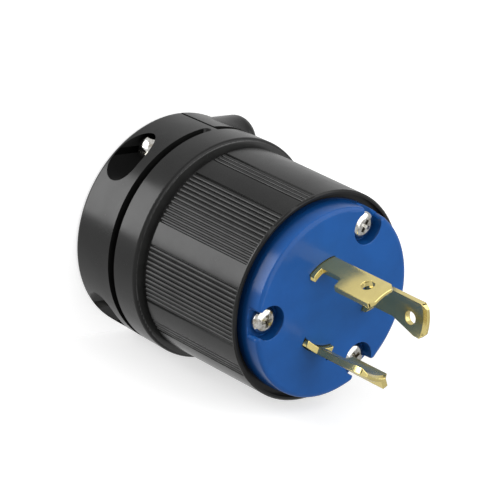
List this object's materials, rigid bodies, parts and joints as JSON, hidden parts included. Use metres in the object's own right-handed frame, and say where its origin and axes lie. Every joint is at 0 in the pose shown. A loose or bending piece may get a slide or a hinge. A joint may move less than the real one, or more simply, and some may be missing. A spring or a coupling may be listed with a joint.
{
  "type": "locking plug",
  "caption": "Round black locking plug with a ribbed grip, a blue face, curved brass locking blades and a split screw-drawn cord clamp at the back.",
  "frame": {"origin": "on the plug's axis, in the plane of the flat cord end", "axes": "+Z along the plug's axis from the cord end towards the blade tips; X across the split of the cord clamp, with the moving jaw at +X; +Y towards one clamp screw"},
  "size_m": [0.0544, 0.0544, 0.0793],
  "materials": {
    "black_nylon": "moulded, satin",
    "blue_nylon": "moulded, semi-gloss",
    "pale_nylon": "moulded, matt",
    "brass": "rolled, bright",
    "plated_steel": "zinc plated",
    "green_steel": "green dyed plating"
  },
  "bodies": {
    "root": {"housing": "black_nylon", "cord_clamp": "black_nylon", "clamp_screws": "plated_steel", "clamp_nuts": "plated_steel", "face_cap": "blue_nylon", "face_screws": "plated_steel", "thread_inserts": "brass", "terminal_block": "pale_nylon", "ground_blade": "brass", "line_blade_1": "brass", "line_blade_2": "brass", "ground_pressure_plate": "plated_steel", "line_pressure_plate_1": "plated_steel", "line_pressure_plate_2": "plated_steel", "ground_terminal_screw": "green_steel", "line_terminal_screws": "brass", "terminal_nuts": "brass"}
  },
  "joints": []
}
